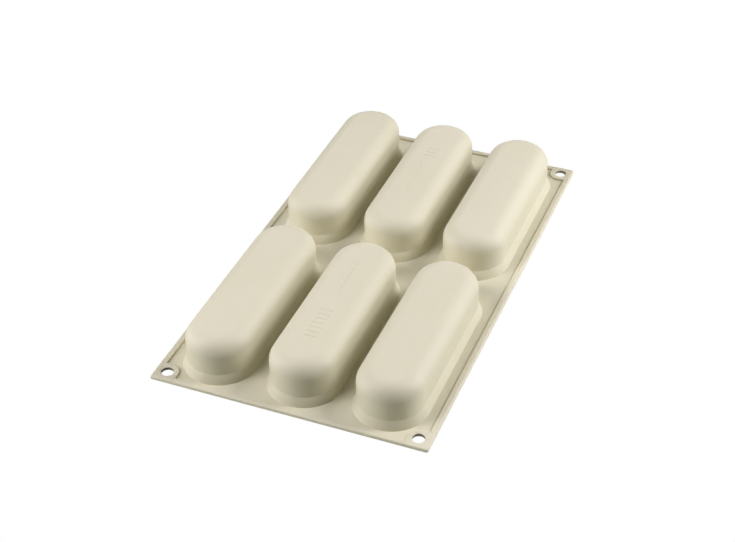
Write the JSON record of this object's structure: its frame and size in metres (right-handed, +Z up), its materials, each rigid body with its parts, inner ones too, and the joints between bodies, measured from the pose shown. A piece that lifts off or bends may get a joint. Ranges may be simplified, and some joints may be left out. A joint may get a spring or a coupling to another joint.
{
  "type": "silicone baguette mould",
  "caption": "Flexible silicone baking mould lying upside down: thin flat sheet, raised border, corner holes and long round-ended wells on flared skirts.",
  "frame": {"origin": "on the table plane, under the middle of the sheet", "axes": "+X across the columns of wells, +Y along the wells towards the rear, +Z up from the open face to the well floors"},
  "size_m": [0.175, 0.3, 0.0295],
  "materials": {
    "silicone": "satin ivory silicone"
  },
  "bodies": {
    "root": {"deck_sheet": "silicone", "border_front": "silicone", "border_rear": "silicone", "border_left": "silicone", "border_right": "silicone", "eyelet_front_left": "silicone", "eyelet_front_right": "silicone", "eyelet_rear_left": "silicone", "eyelet_rear_right": "silicone", "skirt_front_left": "silicone", "skirt_front_middle": "silicone", "skirt_front_right": "silicone", "skirt_rear_left": "silicone", "skirt_rear_middle": "silicone", "skirt_rear_right": "silicone", "well_front_left": "silicone", "well_front_middle": "silicone", "well_front_right": "silicone", "well_rear_left": "silicone", "well_rear_middle": "silicone", "well_rear_right": "silicone", "relief_front_middle": "silicone", "relief_rear_middle": "silicone"}
  },
  "joints": []
}
